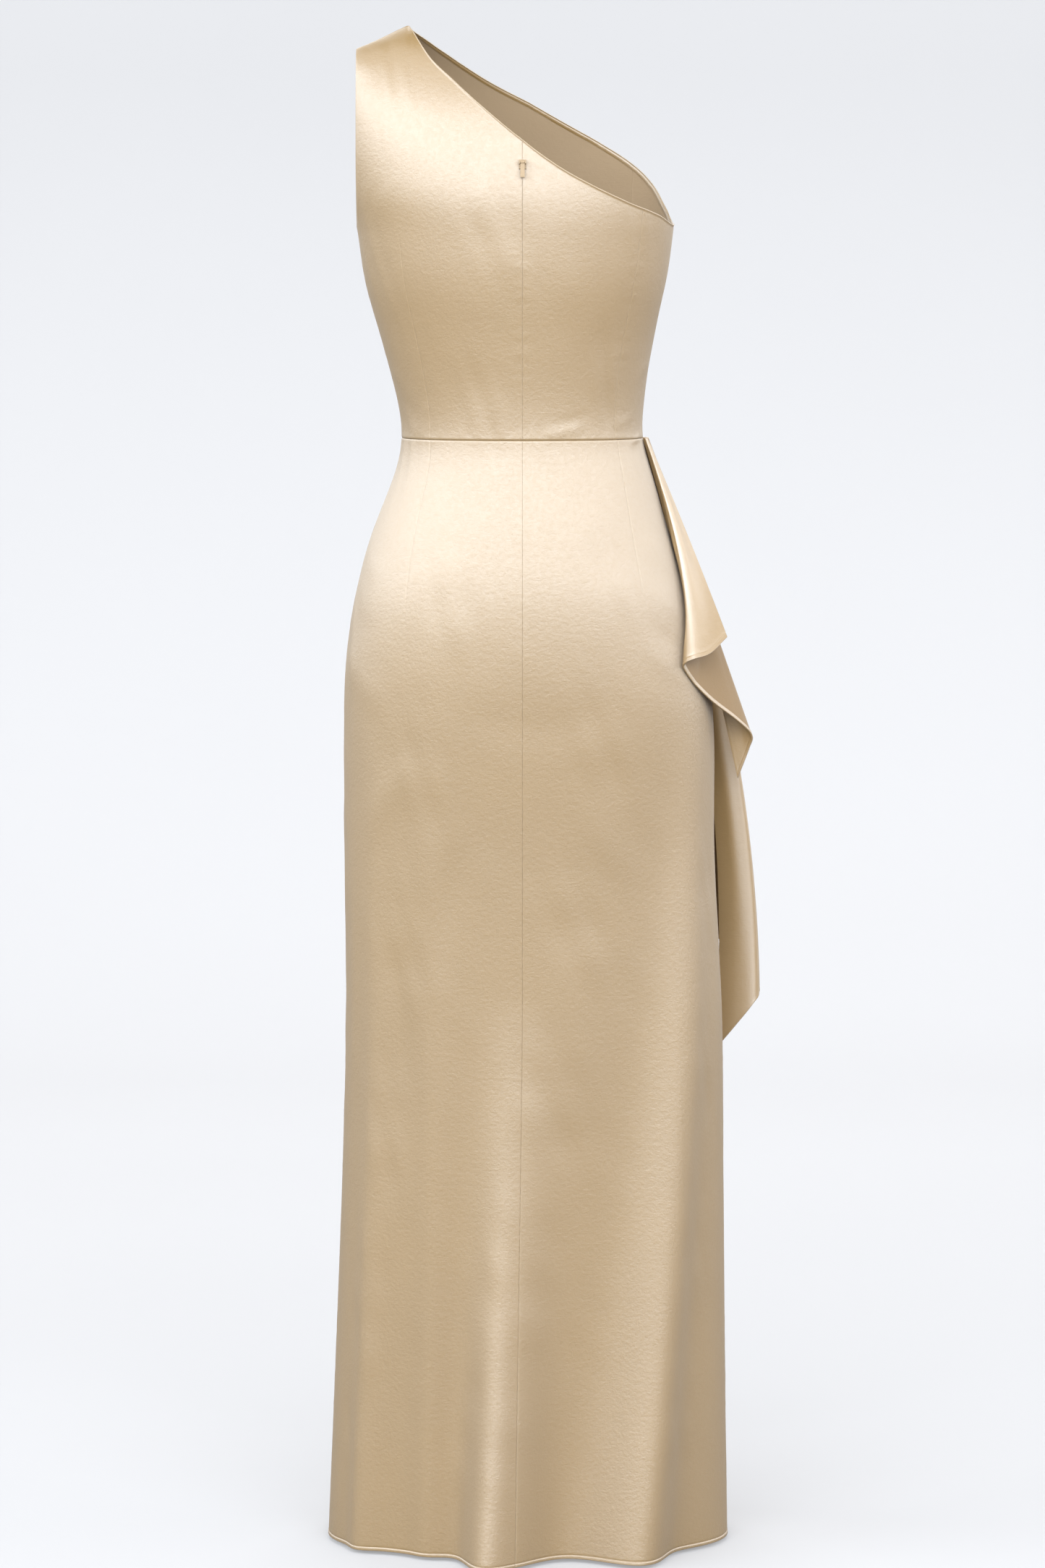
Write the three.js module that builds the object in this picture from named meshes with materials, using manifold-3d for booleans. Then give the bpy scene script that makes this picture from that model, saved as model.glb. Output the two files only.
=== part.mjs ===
// One-shoulder gown in satin, filled out as it is when worn, with nobody in it.
// Millimetres. +X is the wearer's left, +Y the wearer's back, +Z up.
// Heights below are measured from the hem; the last lines move the origin to the
// place on the shoulder that carries the gown.
import * as THREE from 'three';
import { mergeVertices } from 'three/addons/utils/BufferGeometryUtils.js';
import Module from 'manifold-3d';

const wasm = await Module();
wasm.setup();

// Driving dimensions
const WALL = 2.0;                 // cloth with its seam allowances
const SEAM_GAP = 0.3;             // clear space between two sewn pieces
const HEM = 0;
const ZIP_END = 952;
const WAIST = 1104.7;
const UNDERARM = 1316;
const STRAP_START = 1400;         // the shoulder begins to slope above this height
const RIDGE_PATH = 1557;          // path length up the body to the shoulder seam
const ARMHOLE_X = 164;
const STRAP_INNER_X = 114;
const STRAP_TURN = 43;            // this line of the back ends at the neck end of the shoulder seam
const SHOULDER_TIP_DROP = 24;     // the seam falls this much from neck to arm
const QUARTER = 90;

// How finely each piece is divided: rows up the cloth and columns across it
const BODICE_ROWS = 11;
const SKIRT_ROWS = 18;
const SKIRT_ROW_EASE = 0.35;      // rows stand closer towards the waist
const SHOULDER_COLUMNS = 7;
const BACK_LEFT_COLUMNS = 8;
const BACK_RIGHT_COLUMNS = 9;
const SIDE_RIGHT_COLUMNS = 14;
const FRONT_COLUMNS = 8;
const SKIRT_LEFT_COLUMNS = 25;
const SKIRT_RIGHT_COLUMNS = 20;
const SKIRT_FRONT_COLUMNS = 34;
const COLUMNS_PER_LINE = 3;
const FLOUNCE_ROWS = 9;
const TAIL_ROWS = 11;

// The body of the gown, one row for each level: path (length up the cloth), height,
// half widths to the wearer's left and right, depths to the front and back, and how
// square the section is (2 is an ellipse)
const SECTION_COLUMNS = ['path', 'height', 'left', 'right', 'front', 'back', 'square'];
const SECTIONS = [
  [0, 0, 196, 207, 136, 120, 2.2],
  [190, 190, 188, 204, 128, 115, 2.2],
  [368, 368, 181, 202, 121, 113, 2.2],
  [528, 528, 177, 200, 116, 112, 2.2],
  [689, 689, 178, 192, 112, 113, 2.2],
  [834, 834, 178, 190, 109, 118, 2.2],
  [892, 892, 175, 180, 107, 118.5, 2.2],
  [950, 950, 166, 165, 103.5, 115, 2.2],
  [1007, 1007, 150.8, 147.2, 98, 106, 2.15],
  [1072, 1072, 126, 128, 91, 93, 2.15],
  [1104.7, 1104.7, 119.8, 119.3, 87, 88, 2.15],
  [1144, 1144, 124.6, 121, 90, 88, 2.15],
  [1201, 1201, 139.6, 129.5, 100, 93, 2.2],
  [1259, 1259, 155.9, 142.3, 114, 99, 2.3],
  [1316, 1316, 164.4, 150, 117, 101, 2.4],
  [1330, 1330, 168.5, 150.5, 115, 100.5, 2.45],
  [1350, 1350, 172.5, 151, 111, 99, 2.5],
  [1390, 1390, 177, 151, 100, 92, 2.6],
  [1430, 1430, 178, 151, 86, 81, 2.7],
  [1456, 1455, 178, 151, 75, 70, 2.7],
  [1482, 1477, 178, 151, 60, 57, 2.7],
  [1508, 1494, 178, 151, 42, 40, 2.7],
  [1533, 1505, 178, 151, 22, 21, 2.7],
  [1557, 1510, 178, 151, 0, 0, 2.7],        // shoulder seam
  [1581, 1505, 178, 151, -22, -21, 2.7],    // its mirror image, which levels the top
];

// Top edge of the cloth round the body: turn in degrees (0 is the left side, 90 the
// centre back, 180 the right side, 270 the centre front) and height; the curve through
// them runs over the place along the neckline, which is worked out from the turn
const NECK_POWER = 0.77;          // sideways distance is this power of the turn's cosine
const NECK_COLUMNS = ['place', 'height'];
const NECKLINE = [
  [56.8, 1510], [66, 1479], [74, 1457], [82, 1432], [90, 1398], [98, 1374], [109, 1357],
  [128, 1338], [150, 1325], [172, 1315.5], [188, 1318], [200, 1332], [214, 1356], [228, 1376],
  [245, 1397], [260, 1418], [268, 1434], [276, 1458], [286, 1480], [295, 1497], [303.2, 1510],
];

// Long folds of the skirt: turn at the hem and where the fold starts, how far it
// stands out at the hem, its half width in degrees, its starting height, its lean to
// the wearer's left
const FOLD_COLUMNS = ['hemTurn', 'topTurn', 'reach', 'spread', 'start', 'lean'];
const FOLDS = [
  [85, 88, 62, 8.5, 560, 10],      // flute beside the centre back seam
  [118, 155, 50, 11, 900, 0],      // broad ridge below the cascade
  [64, 62, 9, 6, 950, 0],
  [37, 35, 10, 7, 900, 0],
  [205, 203, 14, 8, 600, 0],
  [235, 231, 34, 10, 640, -6],
  [262, 262, 20, 8, 520, 0],
  [300, 303, 36, 10, 700, 6],
  [336, 333, 14, 8, 560, 0],
];
const FOLD_GROWTH = 1.4;

// Cascade at the right hip. Each row is one line that runs from the waist seam to the
// hem of the strip: its plan place at the waist, half way down and at the hem, the
// height of the hem there, and the least distance it keeps from the skirt at its hem
const STRIP_COLUMNS = ['waistX', 'waistY', 'midX', 'midY', 'hemX', 'hemY', 'hemZ', 'clear'];
const FLOUNCE = [
  [-123.6, 12.6, -164.0, 20.0, -202.0, 58.0, 910, 12],      // outer edge of the near layer
  [-122.8, 13.2, -159.0, 29.0, -185.0, 74.0, 895, 12],
  [-121.9, 13.3, -154.0, 34.0, -169.0, 81.0, 890, 11],
  [-121.1, 12.4, -151.0, 32.5, -160.5, 79.0, 886, 8],
  [-120.9, 10.6, -150.5, 28.0, -158.5, 71.5, 880, 5],       // curl over the skirt's back
  [-121.8, 8.9, -154.0, 24.0, -165.0, 64.0, 869, 3.5],
  [-122.9, 7.6, -165.0, 15.5, -187.0, 49.0, 846, 3.5],      // layer that shows its inside
  [-124.0, 6.2, -172.0, 9.5, -213.0, 29.0, 825, 3.5],
  [-124.6, 4.0, -176.5, 4.0, -228.0, 15.0, 809, 3.5],       // outer fold
  [-123.6, 1.6, -175.5, -3.0, -225.5, 7.0, 794, 3.5],
  [-120.9, 0.4, -174.0, -8.0, -215.0, 1.0, 765, 3.5],
];
const TAIL = [
  [-119.8, -14.6, -186.0, -48.0, -196.0, -49.0, 486, 4],   // tucked in front of the skirt's side
  [-122.4, -13.8, -196.0, -41.0, -216.0, -42.0, 511, 4],
  [-124.0, -13.8, -204.5, -37.5, -233.0, -38.0, 533, 4],
  [-124.8, -16.0, -208.5, -40.5, -238.5, -43.5, 543, 4],   // outer fold
  [-124.0, -18.6, -205.0, -46.0, -234.0, -50.5, 553, 4],
  [-122.4, -20.8, -190.0, -62.0, -193.0, -77.0, 604, 4],
  [-117.9, -23.0, -132.0, -86.5, -142.0, -94.0, 700, 4],
];
const WAIST_CLEAR = 1.6;

// Zip: tape behind the centre back seam, slider and pull tab outside it
const ZIP_TAPE_HALF = 12;
const ZIP_TAPE_THICK = 1.0;
const ZIP_TAPE_CLEAR = 0.8;       // the flat facets of the cloth bow in towards the tape
const ZIP_ROWS = 15;
const ZIP_COLUMNS = 4;
const ZIP_TOP_CLEAR = 19.6;       // from the neckline down to the tape's end
const ZIP_TOP_TURN = 5;           // the tape ends below the lowest neckline over its width
const SLIDER_HEIGHT = 1375;
const PIN_OFFSET = 3.5;           // from the cloth to the tab's pin
const PIN_RADIUS = 0.6;
const PIN_SIDES = 12;
const EYE_HOLE = 0.9;
const EYE_RADIUS = 1.5;
const TAB_HALF_WIDTH = 2.1;
const TAB_THICK = 1.2;
const TAB_LENGTH = 15;
const TAB_SEGMENTS = 8;
const SLIDER_HALF_WIDTH = 3.5;
const SLIDER_BASE = [SEAM_GAP, 1.7];
const SLIDER_ENDS = [-6, 3];
const LUG_INNER = 2.5;
const LUG_TOP = 5.0;
const LUG_BITE = 0.5;             // depth of the lugs and the pin's ends in what holds them
const LUG_HALF_HEIGHT = 1.5;

const SATIN = new THREE.MeshStandardMaterial({ color: 0xcdb98f, roughness: 0.42, metalness: 0 });
const SATIN_DRAPE = new THREE.MeshStandardMaterial({ color: 0xc4ae84, roughness: 0.45, metalness: 0 });
const TAPE = new THREE.MeshStandardMaterial({ color: 0xb9a684, roughness: 0.8, metalness: 0 });
const ZIP_METAL = new THREE.MeshStandardMaterial({ color: 0xd8cdb0, roughness: 0.35, metalness: 0.6 });

const radians = (degrees) => degrees * Math.PI / 180;
const mix = (from, to, share) => from + (to - from) * share;

// Reads one column of a table as a smooth curve over another column
function curve(rows, columns, along, value) {
  const keys = rows.map((row) => row[columns.indexOf(along)]);
  const values = rows.map((row) => row[columns.indexOf(value)]);
  const last = keys.length - 1;
  const slopes = keys.map((key, k) => {
    const before = Math.max(k - 1, 0);
    const after = Math.min(k + 1, last);
    return (values[after] - values[before]) / (keys[after] - keys[before]);
  });
  return (at) => {
    const place = Math.min(Math.max(at, keys[0]), keys[last]);
    let k = 0;
    while (k < last - 1 && keys[k + 1] < place) k += 1;
    const span = keys[k + 1] - keys[k];
    const s = (place - keys[k]) / span;
    const rise = values[k + 1] - values[k];
    const cubic = s * s * (3 - 2 * s);
    return values[k] + rise * cubic
      + span * s * (1 - s) * (slopes[k] * (1 - s) - slopes[k + 1] * s);
  };
}

const body = {};
for (const column of SECTION_COLUMNS.slice(1)) {
  body[column] = curve(SECTIONS, SECTION_COLUMNS, 'path', column);
}

// Place along the neckline, even with the sideways distance: 0 at the left side, 1 at
// the centre back, 2 at the right side and 3 at the centre front
function neckPlace(turn) {
  const cosine = Math.cos(radians(turn));
  const share = Math.sign(cosine) * Math.abs(cosine) ** NECK_POWER;
  return turn < 2 * QUARTER ? 1 - share : 3 + share;
}

const neckRows = NECKLINE.map(([turn, height]) => [neckPlace(turn), height]);
const neckHeight = curve(neckRows, NECK_COLUMNS, 'place', 'height');
const NECK_START = NECKLINE[0][0];
const NECK_END = NECKLINE[NECKLINE.length - 1][0];
const LOW_START = 20;             // the search for the neckline starts this far below the underarm
const HALVINGS = 40;

// Above the underarm the left side opens for the arm, so the cloth starts at this angle
function armAngle(path) {
  const width = body.left(path);
  if (path <= UNDERARM || width <= ARMHOLE_X) return 0;
  return Math.acos((ARMHOLE_X / width) ** (body.square(path) / 2));
}

// Angle round the section of the line that stands at a turn below the underarm
function sectionAngle(turn, path) {
  const open = armAngle(path);
  if (turn < QUARTER) return mix(open, radians(QUARTER), turn / QUARTER);
  const frontQuarter = 3 * QUARTER;
  if (turn > frontQuarter) {
    const share = (turn - frontQuarter) / QUARTER;
    return mix(radians(frontQuarter), radians(4 * QUARTER) - open, share);
  }
  return radians(turn);
}

// How far the skirt's folds stand out, and how far they lean, at a turn and height
function foldOffset(turn, height) {
  let out = 0;
  let lean = 0;
  for (const [hemTurn, topTurn, reach, spread, start, sideways] of FOLDS) {
    const grown = Math.max((start - height) / start, 0);
    const centre = mix(topTurn, hemTurn, grown);
    const shape = Math.exp(-(((turn - centre) / spread) ** 2)) * grown ** FOLD_GROWTH;
    out += reach * shape;
    lean += sideways * shape;
  }
  return { out, lean };
}

// A point on the outside of the cloth
function bodyPoint(turn, path) {
  const angle = sectionAngle(turn, path);
  const power = 2 / body.square(path);
  const cosine = Math.cos(angle);
  const sine = Math.sin(angle);
  const width = cosine > 0 ? body.left(path) : body.right(path);
  const depth = sine > 0 ? body.back(path) : body.front(path);
  let x = width * Math.sign(cosine) * Math.abs(cosine) ** power;
  let y = depth * Math.sign(sine) * Math.abs(sine) ** power;
  const height = body.height(path);
  const fold = foldOffset(turn, height);
  const normal = new THREE.Vector2(x / width ** 2, y / Math.max(depth, 1) ** 2).normalize();
  x += fold.out * normal.x + fold.lean;
  y += fold.out * normal.y;
  const slope = Math.max((path - STRAP_START) / (RIDGE_PATH - STRAP_START), 0) ** 2;
  const beyond = Math.max(x - STRAP_INNER_X, 0) / (ARMHOLE_X - STRAP_INNER_X);
  return new THREE.Vector3(x, y, height - SHOULDER_TIP_DROP * beyond * slope);
}

// Outward direction of the cloth, from its neighbours in both directions
function bodyNormal(turn, path) {
  const turnStep = 0.2;
  const pathStep = 0.8;
  const along = bodyPoint(turn + turnStep, path).sub(bodyPoint(turn - turnStep, path));
  const up = bodyPoint(turn, path + pathStep).sub(bodyPoint(turn, path - pathStep));
  return along.cross(up).normalize();
}

// Path length at which the line at a turn reaches the neckline or the shoulder seam
function topPath(turn) {
  const above = (path) => {
    const angle = THREE.MathUtils.radToDeg(sectionAngle(turn, path));
    if (angle < NECK_START || angle > NECK_END) return false;
    return body.height(path) > neckHeight(neckPlace(angle));
  };
  let low = UNDERARM - LOW_START;
  let high = RIDGE_PATH - SEAM_GAP / 2;
  if (!above(high)) return high;
  for (let step = 0; step < HALVINGS; step += 1) {
    const middle = (low + high) / 2;
    if (above(middle)) high = middle;
    else low = middle;
  }
  return low;
}

// Closed solid between two grids of points, outer[row][column] and inner[row][column]
function slab(outer, inner) {
  const rows = outer.length;
  const columns = outer[0].length;
  const points = [...outer.flat(), ...inner.flat()];
  const outerAt = (row, column) => row * columns + column;
  const innerAt = (row, column) => rows * columns + row * columns + column;
  const faces = [];
  const quad = (a, b, c, d) => faces.push(a, b, c, a, c, d);
  for (let r = 0; r < rows - 1; r += 1) {
    for (let c = 0; c < columns - 1; c += 1) {
      quad(outerAt(r, c), outerAt(r, c + 1), outerAt(r + 1, c + 1), outerAt(r + 1, c));
      quad(innerAt(r, c), innerAt(r + 1, c), innerAt(r + 1, c + 1), innerAt(r, c + 1));
    }
    quad(outerAt(r, 0), outerAt(r + 1, 0), innerAt(r + 1, 0), innerAt(r, 0));
    const e = columns - 1;
    quad(outerAt(r, e), innerAt(r, e), innerAt(r + 1, e), outerAt(r + 1, e));
  }
  const t = rows - 1;
  for (let c = 0; c < columns - 1; c += 1) {
    quad(outerAt(0, c), innerAt(0, c), innerAt(0, c + 1), outerAt(0, c + 1));
    quad(outerAt(t, c), outerAt(t, c + 1), innerAt(t, c + 1), innerAt(t, c));
  }
  let volume = 0;
  for (let f = 0; f < faces.length; f += 3) {
    const [a, b, c] = faces.slice(f, f + 3).map((index) => points[index]);
    volume += a.dot(b.clone().cross(c));
  }
  if (volume < 0) faces.reverse();
  const positions = points.flatMap((point) => point.toArray());
  const geometry = new THREE.BufferGeometry();
  geometry.setAttribute('position', new THREE.Float32BufferAttribute(positions, 3));
  geometry.setIndex(faces);
  geometry.computeVertexNormals();
  return geometry;
}

// Turn at a panel's edge, drawn back by half the seam gap
function edgeTurn(turn, path, side) {
  const probe = 0.5;
  const speed = bodyPoint(turn, path).distanceTo(bodyPoint(turn + side * probe, path)) / probe;
  return turn + side * SEAM_GAP / 2 / speed;
}

// A panel between two turns; bottom and top give its path at each turn
function panel(turns, rows, bottom, top, ease = 0) {
  const outer = [];
  const inner = [];
  for (let r = 0; r <= rows; r += 1) {
    const outerRow = [];
    const innerRow = [];
    turns.forEach((turn, k) => {
      const share = r / rows;
      const path = mix(bottom, top(turn), share * (1 + ease * (1 - share)));
      let place = turn;
      if (k === 0) place = edgeTurn(turn, path, 1);
      if (k === turns.length - 1) place = edgeTurn(turn, path, -1);
      const point = bodyPoint(place, path);
      outerRow.push(point);
      innerRow.push(point.clone().addScaledVector(bodyNormal(place, path), -WALL));
    });
    outer.push(outerRow);
    inner.push(innerRow);
  }
  return slab(outer, inner);
}

// Evenly spaced values, both ends included
function steps(from, to, count) {
  return Array.from({ length: count + 1 }, (_, k) => mix(from, to, k / count));
}

// Turns where one piece of the bodice or skirt meets the next
const SIDE_LEFT = 0;
const CENTRE_BACK = QUARTER;
const BACK_RIGHT_SEAM = 138;
const FRONT_RIGHT_SEAM = 227;
const SIDE_RIGHT = 2 * QUARTER;
const CENTRE_FRONT = 3 * QUARTER;
const FRONT_STRAP_TURN = 4 * QUARTER - STRAP_TURN;

const bodicePanel = (turns) => panel(turns, BODICE_ROWS, WAIST + SEAM_GAP / 2, topPath);
const skirtTop = () => WAIST - SEAM_GAP / 2;
const skirtPanel = (turns) => panel(turns, SKIRT_ROWS, HEM, skirtTop, SKIRT_ROW_EASE);

// Moves a point straight out from the body's axis until it is clear of the skirt
function keepClear(point, clear) {
  const power = body.square(point.z);
  const width = point.x > 0 ? body.left(point.z) : body.right(point.z);
  const depth = point.y > 0 ? body.back(point.z) : body.front(point.z);
  const across = (Math.abs(point.x) / width) ** power;
  const through = (Math.abs(point.y) / depth) ** power;
  const share = (across + through) ** (1 / power);
  const radius = Math.hypot(point.x, point.y);
  const needed = Math.max((radius / share + clear) / radius, 1);
  return new THREE.Vector3(point.x * needed, point.y * needed, point.z);
}

// Strip whose lines run from waist to hem through the rows of a table: the plan is a
// smooth curve through the rows, and each line bends once, at half its drop
function strip(table, linesPerRow, rows) {
  const numbered = table.map((row, k) => [k, ...row]);
  const columns = ['line', ...STRIP_COLUMNS];
  const read = {};
  for (const column of STRIP_COLUMNS) read[column] = curve(numbered, columns, 'line', column);
  const top = WAIST - SEAM_GAP;
  const bend = (waist, middle, hem, v) => (
    waist * (2 * v - 1) * (v - 1) + middle * 4 * v * (1 - v) + hem * v * (2 * v - 1));
  const at = (line, v) => keepClear(new THREE.Vector3(
    bend(read.waistX(line), read.midX(line), read.hemX(line), v),
    bend(read.waistY(line), read.midY(line), read.hemY(line), v),
    mix(top, read.hemZ(line), v),
  ), mix(WAIST_CLEAR, read.clear(line), v));
  const last = table.length - 1;
  const reach = 0.02;
  const normal = (line, v) => {
    const ahead = at(Math.min(line + reach, last), v).sub(at(Math.max(line - reach, 0), v));
    const down = at(line, Math.min(v + reach, 1)).sub(at(line, Math.max(v - reach, 0)));
    return ahead.cross(down).normalize();
  };
  const outer = [];
  const inner = [];
  for (let r = 0; r <= rows; r += 1) {
    const lines = steps(0, last, last * linesPerRow);
    const v = r / rows;
    outer.push(lines.map((line) => at(line, v).addScaledVector(normal(line, v), WALL / 2)));
    inner.push(lines.map((line) => at(line, v).addScaledVector(normal(line, v), -WALL / 2)));
  }
  return slab(outer, inner);
}

// Place on the back of the gown at a sideways distance from the centre back seam
function backPoint(x, path) {
  const power = body.square(path);
  const width = x > 0 ? body.left(path) : body.right(path);
  const y = body.back(path) * (1 - (Math.abs(x) / width) ** power) ** (1 / power);
  return new THREE.Vector3(x, y, body.height(path));
}

function backNormal(x, path) {
  const reach = 1;
  const across = backPoint(x - reach, path).sub(backPoint(x + reach, path));
  const up = backPoint(x, path + reach).sub(backPoint(x, path - reach));
  return across.cross(up).normalize();
}

// Zip tape lying inside the cloth, just clear of it
function zipTape() {
  const clear = WALL + ZIP_TAPE_CLEAR;
  const columns = steps(-ZIP_TAPE_HALF, ZIP_TAPE_HALF, ZIP_COLUMNS);
  const top = topPath(CENTRE_BACK + ZIP_TOP_TURN) - ZIP_TOP_CLEAR;
  const layer = (depth) => steps(ZIP_END, top, ZIP_ROWS).map((path) => columns.map(
    (x) => backPoint(x, path).addScaledVector(backNormal(x, path), -depth),
  ));
  return slab(layer(clear), layer(clear + ZIP_TAPE_THICK));
}

function toManifold(geometry) {
  geometry.deleteAttribute('normal');
  geometry.deleteAttribute('uv');
  const merged = mergeVertices(geometry.index ? geometry.toNonIndexed() : geometry, 1e-4);
  return new wasm.Manifold(new wasm.Mesh({
    numProp: 3,
    vertProperties: new Float32Array(merged.attributes.position.array),
    triVerts: new Uint32Array(merged.index.array),
  }));
}

function fromManifold(solid) {
  const mesh = solid.getMesh();
  const geometry = new THREE.BufferGeometry();
  geometry.setAttribute('position', new THREE.Float32BufferAttribute(mesh.vertProperties, 3));
  geometry.setIndex(Array.from(mesh.triVerts));
  geometry.computeVertexNormals();
  return geometry;
}

// Box given by its lowest and highest corner
function box(low, high) {
  const size = high.map((value, axis) => value - low[axis]);
  const geometry = new THREE.BoxGeometry(...size);
  geometry.translate(...low.map((value, axis) => value + size[axis] / 2));
  return geometry;
}

// Slider in its own frame: +Y away from the cloth, the pin along X at height zero
function zipSlider() {
  const base = box(
    [-SLIDER_HALF_WIDTH, SLIDER_BASE[0], SLIDER_ENDS[0]],
    [SLIDER_HALF_WIDTH, SLIDER_BASE[1], SLIDER_ENDS[1]],
  );
  const lugFoot = SLIDER_BASE[1] - LUG_BITE;
  const lug = (from, to) => box([from, lugFoot, -LUG_HALF_HEIGHT], [to, LUG_TOP, LUG_HALF_HEIGHT]);
  const pinLength = 2 * (LUG_INNER + LUG_BITE);
  const pin = new THREE.CylinderGeometry(PIN_RADIUS, PIN_RADIUS, pinLength, PIN_SIDES);
  pin.rotateZ(Math.PI / 2);
  pin.translate(0, PIN_OFFSET, 0);
  return fromManifold(toManifold(base)
    .add(toManifold(lug(LUG_INNER, SLIDER_HALF_WIDTH)))
    .add(toManifold(lug(-SLIDER_HALF_WIDTH, -LUG_INNER)))
    .add(toManifold(pin)));
}

// Pull tab: an eye round the slider's pin and a flat bar that hangs from it
function zipPull() {
  const half = TAB_THICK / 2;
  const start = Math.asin(half / EYE_RADIUS);
  const profile = new THREE.Shape();
  profile.absarc(0, 0, EYE_RADIUS, -Math.PI / 2 + start, 1.5 * Math.PI - start, false);
  profile.lineTo(-half, -TAB_LENGTH + half);
  profile.absarc(0, -TAB_LENGTH + half, half, Math.PI, 2 * Math.PI, false);
  profile.closePath();
  const hole = new THREE.Path();
  hole.absarc(0, 0, EYE_HOLE, 0, 2 * Math.PI, true);
  profile.holes.push(hole);
  const geometry = new THREE.ExtrudeGeometry(profile, {
    depth: 2 * TAB_HALF_WIDTH, bevelEnabled: false, curveSegments: TAB_SEGMENTS,
  });
  geometry.translate(0, 0, -TAB_HALF_WIDTH);
  geometry.rotateX(Math.PI / 2);
  geometry.rotateZ(Math.PI / 2);
  geometry.translate(0, PIN_OFFSET, 0);
  return geometry;
}

const gown = new THREE.Group();

function addPiece(name, geometry, material, parent) {
  const mesh = new THREE.Mesh(geometry, material);
  mesh.name = name;
  parent.add(mesh);
  return mesh;
}

const backLeftTurns = [
  ...steps(SIDE_LEFT, STRAP_TURN, SHOULDER_COLUMNS),
  ...steps(STRAP_TURN, CENTRE_BACK, BACK_LEFT_COLUMNS).slice(1),
];
const backRightTurns = steps(CENTRE_BACK, BACK_RIGHT_SEAM, BACK_RIGHT_COLUMNS);
const sideRightTurns = steps(BACK_RIGHT_SEAM, FRONT_RIGHT_SEAM, SIDE_RIGHT_COLUMNS);
const frontTurns = [
  ...steps(FRONT_RIGHT_SEAM, CENTRE_FRONT, FRONT_COLUMNS),
  ...steps(CENTRE_FRONT, FRONT_STRAP_TURN, FRONT_COLUMNS).slice(1),
  ...steps(FRONT_STRAP_TURN, 4 * QUARTER, SHOULDER_COLUMNS).slice(1),
];
const skirtLeftTurns = steps(SIDE_LEFT, CENTRE_BACK, SKIRT_LEFT_COLUMNS);
const skirtRightTurns = steps(CENTRE_BACK, SIDE_RIGHT, SKIRT_RIGHT_COLUMNS);
const skirtFrontTurns = steps(SIDE_RIGHT, 4 * QUARTER, SKIRT_FRONT_COLUMNS);
addPiece('bodice_back_left', bodicePanel(backLeftTurns), SATIN, gown);
addPiece('bodice_back_right', bodicePanel(backRightTurns), SATIN, gown);
addPiece('bodice_side_right', bodicePanel(sideRightTurns), SATIN, gown);
addPiece('bodice_front', bodicePanel(frontTurns), SATIN, gown);
addPiece('skirt_back_left', skirtPanel(skirtLeftTurns), SATIN, gown);
addPiece('skirt_back_right', skirtPanel(skirtRightTurns), SATIN, gown);
addPiece('skirt_front', skirtPanel(skirtFrontTurns), SATIN, gown);
addPiece('cascade_flounce', strip(FLOUNCE, COLUMNS_PER_LINE, FLOUNCE_ROWS), SATIN_DRAPE, gown);
addPiece('cascade_tail', strip(TAIL, COLUMNS_PER_LINE, TAIL_ROWS), SATIN_DRAPE, gown);
addPiece('back_zip', zipTape(), TAPE, gown);

const seamPoint = backPoint(0, SLIDER_HEIGHT);
const seamNormal = backNormal(0, SLIDER_HEIGHT);
const zipHead = new THREE.Group();
zipHead.position.copy(seamPoint);
zipHead.rotation.x = Math.atan2(seamNormal.z, seamNormal.y);
gown.add(zipHead);
addPiece('zip_slider', zipSlider(), ZIP_METAL, zipHead);
addPiece('zip_pull', zipPull(), ZIP_METAL, zipHead);

// The wearer's shoulder carries the inside of the shoulder seam at its middle
const shoulderX = (STRAP_INNER_X + ARMHOLE_X) / 2;
const shoulderTop = body.height(RIDGE_PATH) - SHOULDER_TIP_DROP / 2 - WALL;
gown.position.set(-shoulderX, 0, -shoulderTop);

export default gown;
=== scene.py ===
"""Looks of a one-shoulder satin gown, filled out as it is when worn.

Sizes are in millimetres above the hem and across from the centre line until a
mesh is made, where they become metres in the part's frame.
"""

import math

import bpy
import numpy as np
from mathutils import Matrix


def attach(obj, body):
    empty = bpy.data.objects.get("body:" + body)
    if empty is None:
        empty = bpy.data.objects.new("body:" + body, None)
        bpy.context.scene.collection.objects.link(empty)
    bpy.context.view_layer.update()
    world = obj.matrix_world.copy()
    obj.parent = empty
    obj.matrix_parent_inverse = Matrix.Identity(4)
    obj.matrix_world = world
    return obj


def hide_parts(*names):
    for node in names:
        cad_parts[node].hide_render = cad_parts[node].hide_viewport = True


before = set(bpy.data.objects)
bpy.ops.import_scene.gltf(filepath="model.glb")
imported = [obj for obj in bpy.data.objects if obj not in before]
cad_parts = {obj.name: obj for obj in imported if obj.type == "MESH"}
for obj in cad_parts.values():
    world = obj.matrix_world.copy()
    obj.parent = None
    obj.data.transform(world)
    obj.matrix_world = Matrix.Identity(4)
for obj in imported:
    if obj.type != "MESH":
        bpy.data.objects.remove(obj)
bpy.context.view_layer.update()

MM = 0.001
ORIGIN = np.array([139.0, 0.0, 1496.0])  # the shoulder rest, from the hem's centre

# Heights and widths of the gown, as in the part
WAIST = 1104.7
UNDERARM = 1316.0
STRAP_START = 1400.0
RIDGE_PATH = 1557.0
ARMHOLE_X = 164.0
STRAP_INNER_X = 114.0
SHOULDER_TIP_DROP = 24.0
ZIP_END = 952.0
SEAM_GAP = 0.3
SEAM_LINE = 0.04  # what stays open between two sewn panels once their edges turn in
CLOTH = 1.1  # satin with its backing
QUARTER = 90.0
FULL_TURN = 4 * QUARTER
MM_PER_DEGREE = 2.9  # along the cloth, near the hips

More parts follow.
